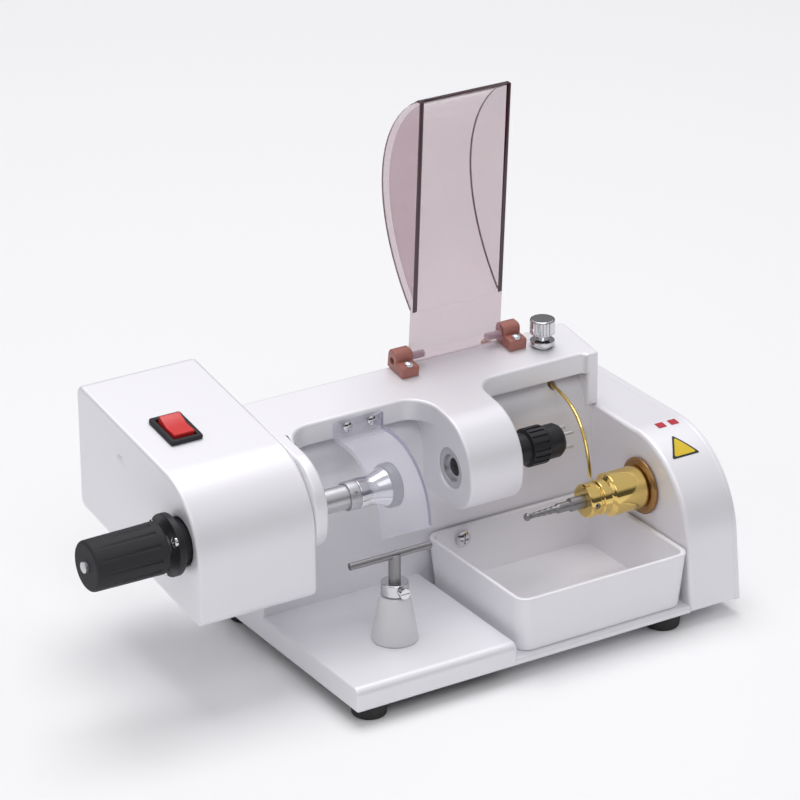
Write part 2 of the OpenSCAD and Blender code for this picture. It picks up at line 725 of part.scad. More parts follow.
tube_path = [for (t = [0 : 0.0625 : 1])
    bezier([[valve_x, 88.5, hose_z], [valve_x - 1, 64, 89], [valve_x - 8, 44, 84], [142, 39.5, 62.5]], t)];

// A round tube swept along a list of points
module swept(path, r, sides) {
    n = len(path);
    function side_vectors(i) = let (
        d = unit(path[min(i + 1, n - 1)] - path[max(i - 1, 0)]),
        u = unit(cross(d, [1, 0, 0]))) [u, cross(d, u)];
    ring = [for (i = [0 : n - 1]) let (s = side_vectors(i)) for (k = [0 : sides - 1])
        path[i] + r * (cos(360 * k / sides) * s[0] + sin(360 * k / sides) * s[1])];
    walls = [for (i = [0 : n - 2], k = [0 : sides - 1]) let (m = (k + 1) % sides)
        each [[i * sides + k, i * sides + m, (i + 1) * sides + m],
              [i * sides + k, (i + 1) * sides + m, (i + 1) * sides + k]]];
    first_end = [for (k = [sides - 1 : -1 : 0]) k];
    last_end = [for (k = [0 : sides - 1]) (n - 1) * sides + k];
    polyhedron(ring, concat([first_end], walls, [last_end]));
}

module coolant_tube() color("goldenrod") placed() { swept(tube_path, 0.8, 10); }

module valve_body() color("gainsboro") placed() {
    difference() {
        union() {
            rod_z(hose_z - 5, arm_top(valve_y) + 3, 4, valve_x, valve_y);
            rod_z(arm_top(valve_y) + 0.9, arm_top(valve_y) + 3, 5.5, valve_x, valve_y);
            rod_y(valve_y + 3, valve_y + 12, 2, valve_x, hose_z);
        }
        rod_z(arm_top(valve_y) - 6, arm_top(valve_y) + 4, 1.5 + run_gap, valve_x, valve_y);
        rod_y(valve_y - 6, valve_y - 2, 0.9, valve_x, hose_z);
    }
}

module valve_knob() color("silver") placed() {
    difference() {
        union() {
            rod_z(arm_top(valve_y) - 5, arm_top(valve_y) + 6, 1.5, valve_x, valve_y);
            translate([valve_x, valve_y, arm_top(valve_y) + 3.4]) rotate_extrude() polygon(rounded([
                [0, 0, 0], [3, 0, 0], [3.4, 2, 0], [5.6, 3, 0.3], [5.6, 9.6, 0.8], [0, 9.6, 0]]));
        }
        for (a = [0 : 15 : 345]) translate([valve_x, valve_y, 0]) rotate([0, 0, a])
            translate([5.6, 0, arm_top(valve_y) + 6.8]) cylinder(h = 5.4, r = 0.35, $fn = 4);
    }
}

module hose_barb() color("goldenrod") placed() {
    rod_y(base_depth - 10, base_depth + 16, 2, valve_x, hose_z);
    difference() {
        rod_y(base_depth, base_depth + 2.5, 4.5, valve_x, hose_z);
        rod_y(base_depth - 1, base_depth + 3, 1, valve_x, hose_z);
    }
    for (y = [7, 11]) translate([valve_x, base_depth + y, hose_z]) rotate([-90, 0, 0])
        cylinder(h = 3, r1 = 2.9, r2 = 2);
}

module coolant_hose() color([0.75, 0.8, 0.85]) placed() {
    difference() {
        rod_y(valve_y + 5, base_depth - 4, 3, valve_x, hose_z);
        rod_y(valve_y + 4, base_depth - 3, 2, valve_x, hose_z);
    }
}

// ---------- guards ----------

// The hood's curved back, as an offset from the hinge axis, from its foot to its top
function hood_back(inset) = [for (t = [0 : 0.05 : 1])
    bezier([[1.2 - inset, hood_foot], [hood_d * 1.1 - inset, hood_foot + 31],
            [hood_d * 1.3 - inset, hood_h * 0.8], [1.2 - inset, hood_h]], t)];

// Puts a shape drawn round the hinge axis in its place, leaning as the raised hood does
module on_hinge() { translate([0, hinge_y, hinge_z]) rotate([hood_lean, 0, 0]) children(); }

module hood_sheet(x0, x1) {
    on_hinge() along_x(x0, x1) difference() {
        polygon(concat([[-1.2, 0], [1.2, 0]], hood_back(0), [[-1.2, hood_h]]));
        polygon(concat([[-3, hood_foot], [-1.3, hood_foot]], hood_back(sheet_t), [[-3, hood_h - 1]]));
    }
}

module splash_hood() color([0.75, 0.55, 0.62, 0.5]) placed() {
    difference() {
        union() {
            hood_sheet(hood_x0, hood_x1);
            for (x = [hood_x0, hood_x1 - sheet_t]) on_hinge() along_x(x, x + sheet_t)
                polygon(concat([[-1.2, hood_foot]], hood_back(0), [[-1.2, hood_h]]));
            rod_x(hood_x0, hood_x1, barrel_r, hinge_y, hinge_z);
        }
        rod_x(hood_x0 - cut, hood_x0 + 7, pin_r + run_gap, hinge_y, hinge_z);
        rod_x(hood_x1 - 7, hood_x1 + cut, pin_r + run_gap, hinge_y, hinge_z);
    }
}

// Puts a shape drawn at the origin on the arm's sloping top
module on_arm(x, y) { translate([x, y, arm_top(y)]) rotate([slope, 0, 0]) children(); }

module hinge_blocks() color([0.6, 0.25, 0.22]) placed() {
    for (x = hinge_block_xs) difference() {
        on_arm(0, hinge_block_y) outline_x(x[0], x[1], [
            [-6.5, 0, 0], [6.5, 0, 0], [6.5, 9.3, 2.5], [-0.4, 9.3, 2.5], [-0.8, 5.2, 0], [-6.5, 5.2, 1.5]]);
        rod_x(x[0] - cut, x[1] + cut, pin_r, hinge_y, hinge_z);
        on_arm((x[0] + x[1]) / 2, hinge_screw_y) translate([0, 0, -cut]) cylinder(h = 20, r = hinge_screw_r);
    }
}

module hinge_pins() color("silver") placed() {
    rod_x(hinge_block_xs[0][0] + 2, hood_x0 + 6.5, pin_r, hinge_y, hinge_z);
    rod_x(hood_x1 - 6.5, hinge_block_xs[1][1] - 2, pin_r, hinge_y, hinge_z);
}

module hinge_screws() color("silver") placed() {
    for (x = hinge_block_xs) on_arm((x[0] + x[1]) / 2, hinge_screw_y) translate([0, 0, 5.2])
        screw(hinge_screw_r, 10, 2.2, 1.6);
}

module wheel_shield() color([0.85, 0.85, 0.95, 0.4]) placed() {
    difference() {
        union() {
            along_x(shield_x0, shield_x1) translate([shield_y, shield_z]) polygon(concat(
                [for (a = [90 : 5 : 180]) shield_r * [cos(a), sin(a)]],
                [for (a = [180 : -5 : 90]) (shield_r - sheet_t) * [cos(a), sin(a)]]));
            box(shield_x0, shield_x1, body_front - 2.2, body_front, shield_tab_z0, shield_tab_z1);
            box(shield_x0, shield_x1, shield_y - 0.1, body_front, shield_z + shield_r - sheet_t, shield_z + shield_r);
        }
        for (x = shield_screw_xs) rod_y(body_front - 4, body_front + 1, small_screw_r, x, shield_screw_z);
    }
}

module shield_screws() color("silver") placed() {
    for (x = shield_screw_xs) translate([x, body_front - 2.2, shield_screw_z]) rotate([90, 0, 0])
        screw(small_screw_r, 5, 2.2, 1.4);
}

// ---------- tray ----------

module tray_block(inset, z0, z1, r) {
    hull() {
        for (x = [tray_x0 + inset + r, tray_x1 - inset - r], y = [0.6 + inset + r, tray_y1 - inset - r]) {
            translate([x, y, z1 - 0.1]) cylinder(h = 0.1, r = r, $fn = 32);
            translate([x + (x < (tray_x0 + tray_x1) / 2 ? tray_draft : -tray_draft),
                       y + (y < tray_y1 / 2 ? tray_draft : -tray_draft), z0])
                cylinder(h = 0.1, r = r, $fn = 32);
        }
    }
}

module tray() color("white") placed() {
    difference() {
        tray_block(0, ledge_z, tray_top, 6);
        tray_block(tray_t, ledge_z + tray_t, tray_top + 0.1, 4.5);
        rod_y(tray_y1 - 6, tray_y1 + cut, screw_r, tray_screw_x, tray_screw_z);
    }
}

module tray_screw() color("silver") placed() {
    translate([tray_screw_x, tray_y1 - tray_t - tray_screw_seat, tray_screw_z]) rotate([90, 0, 0])
        screw(screw_r, 6, 3.6, 2.2);
}

// ---------- tool rest ----------

module rest_post() color("lightgray") placed() {
    difference() {
        translate([rest_x, rest_y, platform_z]) rotate_extrude() polygon(rounded([
            [0, 0, 0], [10.2, 0, 0.8], [6.6, post_h, 0.8], [0, post_h, 0]]));
        rod_z(platform_z + 6, platform_z + post_h + cut, stem_r + run_gap, rest_x, rest_y);
    }
    rod_z(platform_z - wall - 2, platform_z, post_stud_r, rest_x, rest_y);
}

module rest_collar() color("silver") placed() {
    difference() {
        rod_z(platform_z + post_h + free_gap, platform_z + post_h + 6, 6, rest_x, rest_y);
        rod_z(platform_z + post_h - cut, platform_z + post_h + 7, stem_r + run_gap, rest_x, rest_y);
        rod_y(rest_y - 7, rest_y, clamp_r + run_gap, rest_x, clamp_z);
    }
}

module rest_clamp_screw() color("silver") placed() {
    rod_y(rest_y - 6.2, rest_y - 2.9, clamp_r, rest_x, clamp_z);
    difference() {
        rod_y(rest_y - 8.6, rest_y - 6.2, 2.4, rest_x, clamp_z);
        box(rest_x - 2, rest_x + 2, rest_y - 9, rest_y - 7.8, clamp_z - 0.3, clamp_z + 0.3);
    }
}

module rest_stem() color("gray") placed() {
    difference() {
        rod_z(platform_z + 16, rod_z + 0.4, stem_r, rest_x, rest_y);
        rod_x(rest_x - 4, rest_x + 4, 1.6, rest_y, rod_z);
    }
}

module rest_rod() color("gray") placed() { rod_x(rest_x - 22, rest_x - 22 + rod_len, 1.6, rest_y, rod_z); }

base_casting();
arm_casting();
drill_head_shell();
drill_head_cover();
motor_housing();
housing_end_plate();
bottom_cover();
rear_cover();
cover_screws();
feet();
foot_screws();
work_spindle();
hand_knob();
bearing_flange();
flange_screws();
work_bearings();
shaft_collar();
flared_hub();
lap_cup();
work_pulley();
work_belt();
work_motor_pulley();
work_motor();
nose_bushing();
chuck_spindle();
chuck_body();
chuck_prongs();
seal_disc();
brass_chuck();
chuck_set_screw();
drill_burr();
drill_spindle();
drill_bearings();
drill_pulley();
drill_belt();
drill_motor_pulley();
drill_motor();
switch_body();
switch_rocker();
power_inlet();
motor_capacitor();
terminal_block();
coolant_tube();
valve_body();
valve_knob();
hose_barb();
coolant_hose();
splash_hood();
hinge_blocks();
hinge_pins();
hinge_screws();
wheel_shield();
shield_screws();
tray();
tray_screw();
rest_post();
rest_collar();
rest_clamp_screw();
rest_stem();
rest_rod();
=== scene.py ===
"""Looks of a bench machine for drilling and polishing small stones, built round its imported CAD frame."""

import logging
import math
from dataclasses import dataclass
from enum import Enum

import bmesh
import bpy
from mathutils import Matrix, Vector
from mathutils.bvhtree import BVHTree


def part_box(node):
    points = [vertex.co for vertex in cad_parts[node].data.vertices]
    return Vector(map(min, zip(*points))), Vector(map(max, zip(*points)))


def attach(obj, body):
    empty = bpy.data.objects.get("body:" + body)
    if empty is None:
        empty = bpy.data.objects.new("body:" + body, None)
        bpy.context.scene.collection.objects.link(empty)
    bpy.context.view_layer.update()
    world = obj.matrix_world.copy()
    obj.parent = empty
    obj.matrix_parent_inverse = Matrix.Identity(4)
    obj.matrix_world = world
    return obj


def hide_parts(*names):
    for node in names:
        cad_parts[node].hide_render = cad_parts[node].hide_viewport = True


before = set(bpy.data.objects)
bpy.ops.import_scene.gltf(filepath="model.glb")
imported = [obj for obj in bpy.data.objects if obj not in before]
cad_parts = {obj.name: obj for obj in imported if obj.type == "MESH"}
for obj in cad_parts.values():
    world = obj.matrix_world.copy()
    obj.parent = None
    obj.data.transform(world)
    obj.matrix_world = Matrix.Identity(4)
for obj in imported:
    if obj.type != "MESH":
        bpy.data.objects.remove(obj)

log = logging.getLogger("bench_machine")

MM = 0.001
Color = tuple[float, float, float]
Point = tuple[float, float, float]

# How the shared effects stretch their coordinates, and how fine their noise is.
TURNING_STRETCH = (1.0, 0.04, 0.04)
SCUFF_STRETCH = (0.12, 1.0, 0.5)
SCUFF_FROM = 0.68
SCUFF_TO = 0.74
PATCH_OCTAVES = 3.0
GRAIN_OCTAVES = 2.0
RING_OCTAVES = 4.0
RING_PATCH_OCTAVES = 2.0
HAIR_OCTAVES = 1.0

# What every finish shares.
COAT_ROUGHNESS = 0.04
BUMP_STRENGTH = 0.35

# Tolerances of the rounded copies: angles in degrees, distances in metres.
FLAT_ANGLE = 0.6
SMOOTH_ANGLE = 34.0
WELD_BEFORE = 2e-6
WELD_AFTER = 4e-6


# ---------------------------------------------------------------- shared surface effects


class Effect(Enum):
    """The surface effects that several finishes share, each one a node group."""

    BREAKUP = "surface_breakup"
    TURNING = "turning_marks"
    SCUFFS = "fine_scuffs"


class EffectLibrary:
    """Builds each shared node group once and hands it out."""

    def __init__(self) -> None:
        """Starts with no group built."""
        self._groups: dict[Effect, bpy.types.NodeTree] = {}

    def get(self, effect: Effect) -> bpy.types.NodeTree:
        """Gives the node group of an effect.

        Args:
            effect: The effect wanted.

        Returns:
            The node group, with outputs Mask and Height.
        """
        if effect not in self._groups:
            makers = {
                Effect.BREAKUP: self._breakup,
                Effect.TURNING: self._turning,
                Effect.SCUFFS: self._scuffs,
            }
            self._groups[effect] = makers[effect]()
        return self._groups[effect]

    @staticmethod
    def _start(effect: Effect) -> tuple[bpy.types.NodeTree, bpy.types.Node, bpy.types.Node]:
        """Makes an empty group with the sockets that every effect has.

        Args:
            effect: The effect that the group is for.

        Returns:
            The group, its input node and its output node.
        """
        group = bpy.data.node_groups.new(effect.value, "ShaderNodeTree")
        for name, kind in (
            ("Vector", "NodeSocketVector"),
            ("Patch Scale", "NodeSocketFloat"),
            ("Grain Scale", "NodeSocketFloat"),
        ):
            group.interface.new_socket(name=name, in_out="INPUT", socket_type=kind)
        for name in ("Mask", "Height"):
            group.interface.new_socket(name=name, in_out="OUTPUT", socket_type="NodeSocketFloat")
        return group, group.nodes.new("NodeGroupInput"), group.nodes.new("NodeGroupOutput")

    @staticmethod
    def _noise(group: bpy.types.NodeTree, vector: bpy.types.NodeSocket, scale: bpy.types.NodeSocket,
               detail: float) -> bpy.types.Node:
        """Adds a noise texture whose scale comes from a socket.

        Args:
            group: The node group.
            vector: The socket that gives the coordinates.
            scale: The socket that gives the scale.
            detail: The number of octaves.

        Returns:
            The noise node.
        """
        noise = group.nodes.new("ShaderNodeTexNoise")
        noise.inputs["Detail"].default_value = detail
        group.links.new(vector, noise.inputs["Vector"])
        group.links.new(scale, noise.inputs["Scale"])
        return noise

    def _breakup(self) -> bpy.types.NodeTree:
        """Soft patches of tone with a fine grain in the relief.

        Returns:
            The node group.
        """
        group, source, sink = self._start(Effect.BREAKUP)
        patches = self._noise(group, source.outputs["Vector"], source.outputs["Patch Scale"], PATCH_OCTAVES)
        grain = self._noise(group, source.outputs["Vector"], source.outputs["Grain Scale"], GRAIN_OCTAVES)
        group.links.new(patches.outputs["Fac"], sink.inputs["Mask"])
        group.links.new(grain.outputs["Fac"], sink.inputs["Height"])
        return group

    def _turning(self) -> bpy.types.NodeTree:
        """Fine rings round the spindles' direction, as a lathe leaves them.

        Returns:
            The node group.
        """
        group, source, sink = self._start(Effect.TURNING)
        squash = group.nodes.new("ShaderNodeVectorMath")
        squash.operation = "MULTIPLY"
        squash.inputs[1].default_value = TURNING_STRETCH
        group.links.new(source.outputs["Vector"], squash.inputs[0])
        rings = self._noise(group, squash.outputs[0], source.outputs["Grain Scale"], RING_OCTAVES)
        patches = self._noise(group, source.outputs["Vector"], source.outputs["Patch Scale"],
                              RING_PATCH_OCTAVES)
        blend = group.nodes.new("ShaderNodeMath")
        blend.operation = "MULTIPLY"
        group.links.new(rings.outputs["Fac"], blend.inputs[0])
        group.links.new(patches.outputs["Fac"], blend.inputs[1])
        group.links.new(blend.outputs[0], sink.inputs["Mask"])
        group.links.new(rings.outputs["Fac"], sink.inputs["Height"])
        return group

    def _scuffs(self) -> bpy.types.NodeTree:
        """Sparse hairline scuffs over soft patches.

        Returns:
            The node group.
        """
        group, source, sink = self._start(Effect.SCUFFS)
        stretch = group.nodes.new("ShaderNodeVectorMath")
        stretch.operation = "MULTIPLY"
        stretch.inputs[1].default_value = SCUFF_STRETCH
        group.links.new(source.outputs["Vector"], stretch.inputs[0])
        hairs = self._noise(group, stretch.outputs[0], source.outputs["Grain Scale"], HAIR_OCTAVES)
        thin = group.nodes.new("ShaderNodeMapRange")
        thin.inputs["From Min"].default_value = SCUFF_FROM
        thin.inputs["From Max"].default_value = SCUFF_TO
        group.links.new(hairs.outputs["Fac"], thin.inputs["Value"])
        patches = self._noise(group, source.outputs["Vector"], source.outputs["Patch Scale"], PATCH_OCTAVES)
        group.links.new(patches.outputs["Fac"], sink.inputs["Mask"])
        group.links.new(thin.outputs["Result"], sink.inputs["Height"])
        return group


effects = EffectLibrary()


# ---------------------------------------------------------------- finishes


@dataclass(frozen=True)
class Finish:
    """An opaque finish whose tone, gloss and relief vary over the piece."""

    name: str
    slot: str
    color: Color
    tint: Color
    roughness: float
    swing: float = 0.05
    metallic: float = 0.0
    coat: float = 0.0
    specular: float = 0.5
    effect: Effect = Effect.BREAKUP
    patch_scale: float = 30.0
    grain_scale: float = 900.0
    relief_mm: float = 0.02

    def material(self) -> bpy.types.Material:
        """Gives the finish's material, built on first use.

        Returns:
            The material.
        """
        found = bpy.data.materials.get(self.name)
        return found if found else self._build()

    def _build(self) -> bpy.types.Material:
        """Builds the material's nodes.

        Returns:
            The new material.
        """
        material = bpy.data.materials.new(self.name)
        material.use_nodes = True
        nodes, links = material.node_tree.nodes, material.node_tree.links
        shader = nodes["Principled BSDF"]
        shader.inputs["Metallic"].default_value = self.metallic
        shader.inputs["Coat Weight"].default_value = self.coat
        shader.inputs["Coat Roughness"].default_value = COAT_ROUGHNESS
        shader.inputs["Specular IOR Level"].default_value = self.specular
        self._own_sockets(shader)
        coords = nodes.new("ShaderNodeTexCoord")
        effect = nodes.new("ShaderNodeGroup")
        effect.node_tree = effects.get(self.effect)
        effect.inputs["Patch Scale"].default_value = self.patch_scale
        effect.inputs["Grain Scale"].default_value = self.grain_scale
        links.new(coords.outputs["Object"], effect.inputs["Vector"])
        mix = nodes.new("ShaderNodeMix")
        mix.data_type = "RGBA"
        mix.inputs["A"].default_value = (*self.color, 1.0)
        mix.inputs["B"].default_value = (*self.tint, 1.0)
        links.new(effect.outputs["Mask"], mix.inputs["Factor"])
        links.new(mix.outputs["Result"], shader.inputs["Base Color"])
        gloss = nodes.new("ShaderNodeMapRange")
        gloss.inputs["To Min"].default_value = max(0.0, self.roughness - self.swing)
        gloss.inputs["To Max"].default_value = self.roughness + self.swing
        links.new(effect.outputs["Mask"], gloss.inputs["Value"])
        links.new(gloss.outputs["Result"], shader.inputs["Roughness"])
        bump = nodes.new("ShaderNodeBump")
        bump.inputs["Strength"].default_value = BUMP_STRENGTH
        bump.inputs["Distance"].default_value = self.relief_mm * MM
        links.new(effect.outputs["Height"], bump.inputs["Height"])
        links.new(bump.outputs["Normal"], shader.inputs["Normal"])
        return material

    def _own_sockets(self, shader: bpy.types.Node) -> None:
        """Sets what only some finishes have; an opaque finish has nothing more.

        Args:
            shader: The material's shader node.
        """


@dataclass(frozen=True)
class ClearFinish(Finish):
    """A see-through finish, tinted where light passes its surface."""

    transmission: float = 1.0
    ior: float = 1.49

    def _own_sockets(self, shader: bpy.types.Node) -> None:
        """Sets the sockets that let light through.

        Args:
            shader: The material's shader node.
        """
        shader.inputs["Transmission Weight"].default_value = self.transmission
        shader.inputs["IOR"].default_value = self.ior


ENAMEL = Finish("white_enamel", "white_enamel", (0.64, 0.59, 0.69), (0.60, 0.55, 0.655), 0.16, 0.03,
                coat=0.5, patch_scale=14, grain_scale=420, relief_mm=0.03)
DARK_PLATE = Finish("dark_plate", "dark_plate", (0.045, 0.045, 0.05), (0.03, 0.03, 0.035), 0.45,
                    effect=Effect.SCUFFS)
ZINC = Finish("zinc_screws", "zinc_screws", (0.62, 0.62, 0.65), (0.48, 0.48, 0.52), 0.2, 0.06, metallic=1.0,
              effect=Effect.SCUFFS, patch_scale=160, grain_scale=1500)
RUBBER = Finish("foot_rubber", "foot_rubber", (0.012, 0.012, 0.013), (0.025, 0.025, 0.026), 0.62, 0.1,
                patch_scale=90, grain_scale=2600, relief_mm=0.05)
GROUND_STEEL = Finish("spindle_steel", "spindle_steel", (0.60, 0.59, 0.62), (0.42, 0.41, 0.44), 0.16, 0.06,
                      metallic=1.0, effect=Effect.TURNING, patch_scale=60, grain_scale=2400)
BLACK_PLASTIC = Finish("black_plastic", "black_plastic", (0.004, 0.004, 0.005), (0.010, 0.010, 0.012), 0.30,
                       0.07, specular=0.28, patch_scale=70, grain_scale=2000, relief_mm=0.03)
BLACK_METAL = Finish("black_metal", "black_metal", (0.008, 0.008, 0.009), (0.020, 0.020, 0.022), 0.34, 0.08,
                     specular=0.3, effect=Effect.TURNING, patch_scale=60, grain_scale=1800)
MIRROR_CHROME = Finish("hub_chrome", "hub_chrome", (0.86, 0.86, 0.89), (0.80, 0.80, 0.84), 0.035, 0.015,
                       metallic=1.0, effect=Effect.SCUFFS, patch_scale=80, grain_scale=1200, relief_mm=0.005)
CUP_RIM = Finish("cup_dark", "cup_dark", (0.010, 0.010, 0.012), (0.022, 0.022, 0.025), 0.45, 0.08,
                 specular=0.2, effect=Effect.TURNING, patch_scale=90, grain_scale=1800)
ALLOY = Finish("pulley_alloy", "pulley_alloy", (0.58, 0.58, 0.60), (0.48, 0.48, 0.50), 0.3, metallic=1.0,
               effect=Effect.TURNING)
BELT = Finish("belt_rubber", "belt_rubber", (0.015, 0.015, 0.015), (0.03, 0.03, 0.03), 0.7)
MOTOR_STEEL = Finish("motor_steel", "motor_steel", (0.32, 0.32, 0.34), (0.25, 0.25, 0.27), 0.4, metallic=0.9)
BRONZE = Finish("bronze", "bronze", (0.20, 0.095, 0.035), (0.34, 0.17, 0.06), 0.26, 0.08, metallic=1.0,
                effect=Effect.TURNING, patch_scale=70, grain_scale=1800)
BRASS = Finish("bright_brass", "bright_brass", (0.86, 0.58, 0.16), (0.74, 0.45, 0.09), 0.13, 0.05,
               metallic=1.0, effect=Effect.TURNING, patch_scale=60, grain_scale=2600)
DARK_STEEL = Finish("burr_steel", "burr_steel", (0.20, 0.185, 0.19), (0.10, 0.09, 0.095), 0.3, 0.08,
                    metallic=1.0, effect=Effect.TURNING, patch_scale=120, grain_scale=2600)
ROCKER_RED = Finish("rocker_red", "rocker_red", (0.62, 0.012, 0.014), (0.48, 0.008, 0.010), 0.16, 0.04,
                    coat=0.3, patch_scale=60, grain_scale=1200)
BLUE_FILM = Finish("blue_film", "blue_film", (0.05, 0.12, 0.32), (0.04, 0.10, 0.27), 0.2)
IVORY = Finish("ivory_plastic", "ivory_plastic", (0.66, 0.62, 0.50), (0.60, 0.56, 0.45), 0.4)
NICKEL = Finish("valve_nickel", "valve_nickel", (0.52, 0.51, 0.53), (0.36, 0.35, 0.37), 0.22, 0.07,
                metallic=1.0, effect=Effect.SCUFFS, patch_scale=120, grain_scale=1800)
VINYL = Finish("hose_clear", "hose_clear", (0.55, 0.60, 0.64), (0.50, 0.55, 0.60), 0.35)
TRAY_WHITE = Finish("tray_plastic", "tray_plastic", (0.71, 0.655, 0.74), (0.67, 0.615, 0.70), 0.26, 0.04,
                    patch_scale=18, grain_scale=1100, relief_mm=0.015)
POST_GREY = Finish("post_paint", "post_paint", (0.42, 0.405, 0.45), (0.37, 0.355, 0.40), 0.42, 0.06,
                   patch_scale=50, grain_scale=1500, relief_mm=0.05)
CAUTION_YELLOW = Finish("caution_yellow", "ivory_plastic", (0.80, 0.58, 0.02), (0.74, 0.52, 0.02), 0.35)
LABEL_INK = Finish("label_ink", "black_plastic", (0.02, 0.02, 0.02), (0.03, 0.03, 0.03), 0.4)
LABEL_RED = Finish("label_red", "rocker_red", (0.55, 0.03, 0.05), (0.48, 0.02, 0.04), 0.35)
TINTED = ClearFinish("tinted_acrylic", "tinted_acrylic", (0.40, 0.29, 0.40), (0.36, 0.25, 0.36), 0.05, 0.02,
                     effect=Effect.SCUFFS, patch_scale=20, grain_scale=500, relief_mm=0.004, ior=1.08)
TINTED_EDGE = Finish("tinted_edge", "tinted_acrylic", (0.035, 0.010, 0.016), (0.075, 0.022, 0.030), 0.14,
                     0.04, coat=0.5, patch_scale=45)
CLEAR = ClearFinish("clear_acrylic", "clear_acrylic", (0.95, 0.95, 1.0), (0.92, 0.92, 0.99), 0.02, 0.015,
                    effect=Effect.SCUFFS, patch_scale=20, grain_scale=500, relief_mm=0.004, ior=1.03)
# Painted reflection: an opaque violet laid on the clear shield's edge faces that look towards +x, standing
# for light caught in the clear sheet.
CLEAR_EDGE_REFLECTION = Finish("clear_edge_painted_reflection", "clear_acrylic", (0.30, 0.29, 0.47), (0.42, 0.41, 0.58), 0.16, 0.04,
                    coat=0.4, patch_scale=60)
AMBER = ClearFinish("hinge_amber", "hinge_amber", (0.52, 0.25, 0.21), (0.42, 0.17, 0.14), 0.12, 0.04,
                    patch_scale=220, grain_scale=900, relief_mm=0.02, transmission=0.55)
FLOOR = Finish("studio_floor", "", (0.97, 0.97, 0.975), (0.955, 0.955, 0.96), 0.6, patch_scale=3)


# ---------------------------------------------------------------- working on one piece


def only(piece: bpy.types.Object) -> None:
    """Deselects everything, then selects one piece and makes it the active one.

    Args:
        piece: The piece.
    """
    if bpy.context.object and bpy.context.object.mode != "OBJECT":
        bpy.ops.object.mode_set(mode="OBJECT")
    bpy.ops.object.select_all(action="DESELECT")
    piece.select_set(True)
    bpy.context.view_layer.objects.active = piece


def clear_selection() -> None:
    """Deselects everything, so that a new primitive is alone."""
    bpy.ops.object.select_all(action="DESELECT")
    bpy.context.view_layer.objects.active = None


def settle(piece: bpy.types.Object) -> None:
    """Puts a piece's place into its mesh, so its object sits at the origin.

    Args:
        piece: The piece.
    """
    only(piece)
    bpy.ops.object.transform_apply(location=True, rotation=True, scale=True)


def apply_all(piece: bpy.types.Object) -> None:
    """Applies every modifier of a piece, in order.

    Args:
        piece: The piece.
    """
    only(piece)
    for modifier in list(piece.modifiers):
        bpy.ops.object.modifier_apply(modifier=modifier.name)


def smooth(piece: bpy.types.Object, angle: float = SMOOTH_ANGLE) -> None:
    """Shades a piece smooth, keeping edges sharper than an angle in degrees.

    Args:
        piece: The piece.
        angle: The angle from which an edge stays sharp.
    """
    only(piece)
    bpy.ops.object.shade_smooth_by_angle(angle=math.radians(angle))


def paint(piece: bpy.types.Object, *finishes: Finish) -> None:
    """Gives a piece its finishes.

    Args:
        piece: The piece.
        finishes: The finishes, in the order of the mesh's material indices.
    """
    piece.data.materials.clear()
    for finish in finishes:
        piece.data.materials.append(finish.material())
    if len(finishes) == 1:
        for polygon in piece.data.polygons:
            polygon.material_index = 0


class Neighbours:
    """The CAD nodes round a piece, for finding the edges that lie against them."""

    touching: float = 0.06 * MM

    def __init__(self, nodes: tuple[str, ...]) -> None:
        """Takes the names of the CAD nodes.

        Args:
            nodes: The names of the CAD nodes.
        """
        self._trees = []
        for node in nodes:
            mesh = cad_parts[node].data
            corners = [v.co.copy() for v in mesh.vertices]
            faces = [tuple(p.vertices) for p in mesh.polygons]
            self._trees.append(BVHTree.FromPolygons(corners, faces))

    def meet(self, edge: bmesh.types.BMEdge) -> bool:
        """Says whether an edge lies against one of the nodes along its whole length.

        Args:
            edge: The edge.

        Returns:
            Whether it does.
        """
        first, last = (v.co for v in edge.verts)
        places = (first, (first + last) / 2, last)
        return any(all(tree.find_nearest(p, self.touching)[0] is not None for p in places)
                   for tree in self._trees)


def outline_chains(mesh: bmesh.types.BMesh, least_angle: float,
                   beside: Neighbours) -> list[list[bmesh.types.BMEdge]]:
    """Groups a mesh's sharp outward edges into connected chains.

    Args:
        mesh: The mesh.
        least_angle: The angle in degrees between two faces from which their edge counts as sharp.
        beside: The neighbours, whose edges in common are left out.

    Returns:
        The chains, each a list of edges.
    """
    sharp = {e for e in mesh.edges if len(e.link_faces) == 2 and e.is_convex
             and e.calc_face_angle(0.0) > math.radians(least_angle) and not beside.meet(e)}
    chains: list[list[bmesh.types.BMEdge]] = []
    while sharp:
        stack = [sharp.pop()]
        chain = []
        while stack:
            edge = stack.pop()
            chain.append(edge)
            for vertex in edge.verts:
                for other in vertex.link_edges:
                    if other in sharp:
                        sharp.remove(other)
                        stack.append(other)
        chains.append(chain)
    return chains


def chain_size(chain: list[bmesh.types.BMEdge]) -> float:
    """Gives the longest side of the box round a chain of edges.

    Args:
        chain: The chain.

    Returns:
        The length in metres.
    """
    points = [v.co for e in chain for v in e.verts]
    return max(max(p[i] for p in points) - min(p[i] for p in points) for i in range(3))


